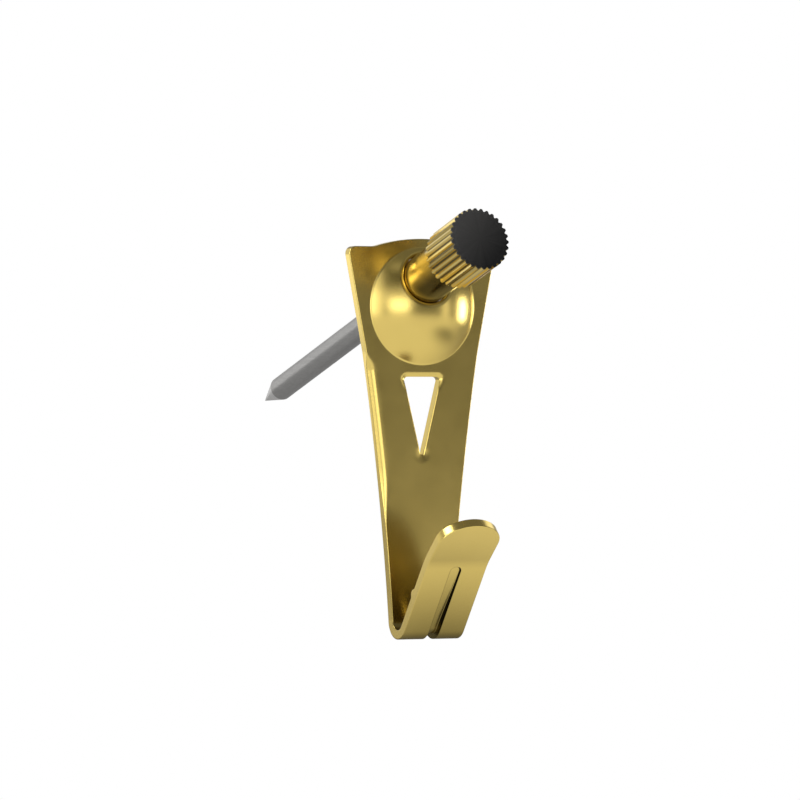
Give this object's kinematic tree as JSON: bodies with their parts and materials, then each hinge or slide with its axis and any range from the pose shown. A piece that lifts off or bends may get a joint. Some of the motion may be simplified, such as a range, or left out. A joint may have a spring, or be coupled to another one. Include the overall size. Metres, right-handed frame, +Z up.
{
  "type": "picture hook",
  "caption": "Stamped brass picture hook with a domed nail boss, a triangular cut-out and a flared J-shaped tongue, held to a wall by a sloping steel nail with a knurled head.",
  "frame": {"origin": "where the nail's axis meets the wall plane, which is the plane of the strip's flat back", "axes": "+Z up the wall, +Y into the wall, the front of the hook looks along -Y, X = 0 is its middle plane"},
  "size_m": [0.0122, 0.0366, 0.0319],
  "materials": {
    "strip_brass": "satin polished",
    "nail_steel": "drawn wire",
    "head_brass": "turned and knurled"
  },
  "bodies": {
    "root": {"hook_strip": "strip_brass", "nail": "nail_steel", "nail_head": "head_brass"}
  },
  "joints": []
}
